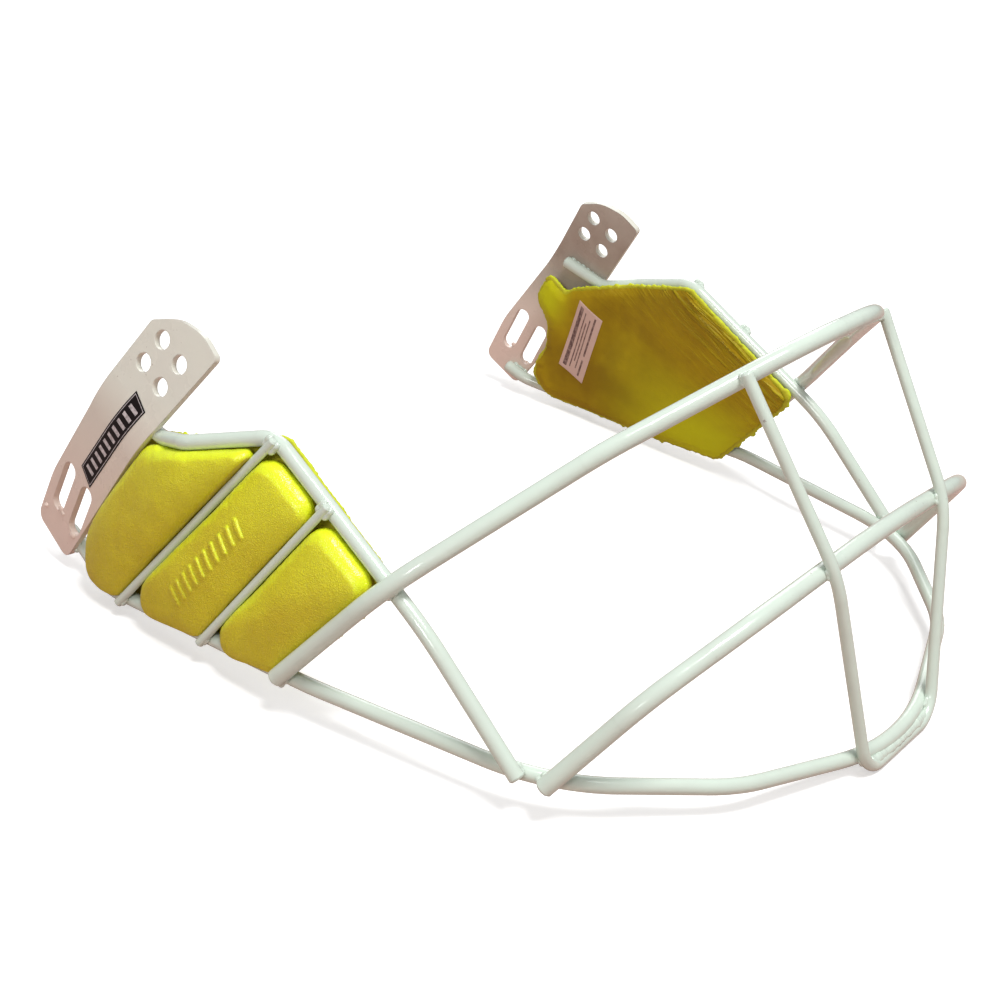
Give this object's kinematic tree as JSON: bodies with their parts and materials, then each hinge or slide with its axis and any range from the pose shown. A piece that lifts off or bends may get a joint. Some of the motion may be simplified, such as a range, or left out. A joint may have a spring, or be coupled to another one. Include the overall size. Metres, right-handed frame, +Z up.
{
  "type": "helmet face guard",
  "caption": "Welded steel rod face guard for a cricket helmet, with drilled and slotted side plates and moulded yellow cheek pads.",
  "frame": {"origin": "on the surface that the guard stands on, below the middle of its bounding box", "axes": "+X to the wearer's right, +Y forward out of the face opening, +Z up"},
  "size_m": [0.243, 0.2345, 0.115],
  "materials": {
    "coated_steel": "gloss",
    "pad_leather": "satin",
    "pad_lining": "satin"
  },
  "bodies": {
    "root": {"side_plate_right": "coated_steel", "side_plate_left": "coated_steel", "chin_rod": "coated_steel", "cheek_rod_right": "coated_steel", "cheek_rod_left": "coated_steel", "top_bar": "coated_steel", "mouth_bar": "coated_steel", "centre_rod": "coated_steel", "rear_cross_rod_right": "coated_steel", "rear_cross_rod_left": "coated_steel", "front_cross_rod_right": "coated_steel", "front_cross_rod_left": "coated_steel", "rear_pillow_right": "pad_leather", "rear_pillow_left": "pad_leather", "middle_pillow_right": "pad_leather", "middle_pillow_left": "pad_leather", "front_pillow_right": "pad_leather", "front_pillow_left": "pad_leather", "pad_sheet_right": "pad_leather", "pad_sheet_left": "pad_leather", "pad_lining_right": "pad_lining", "pad_lining_left": "pad_lining"}
  },
  "joints": []
}
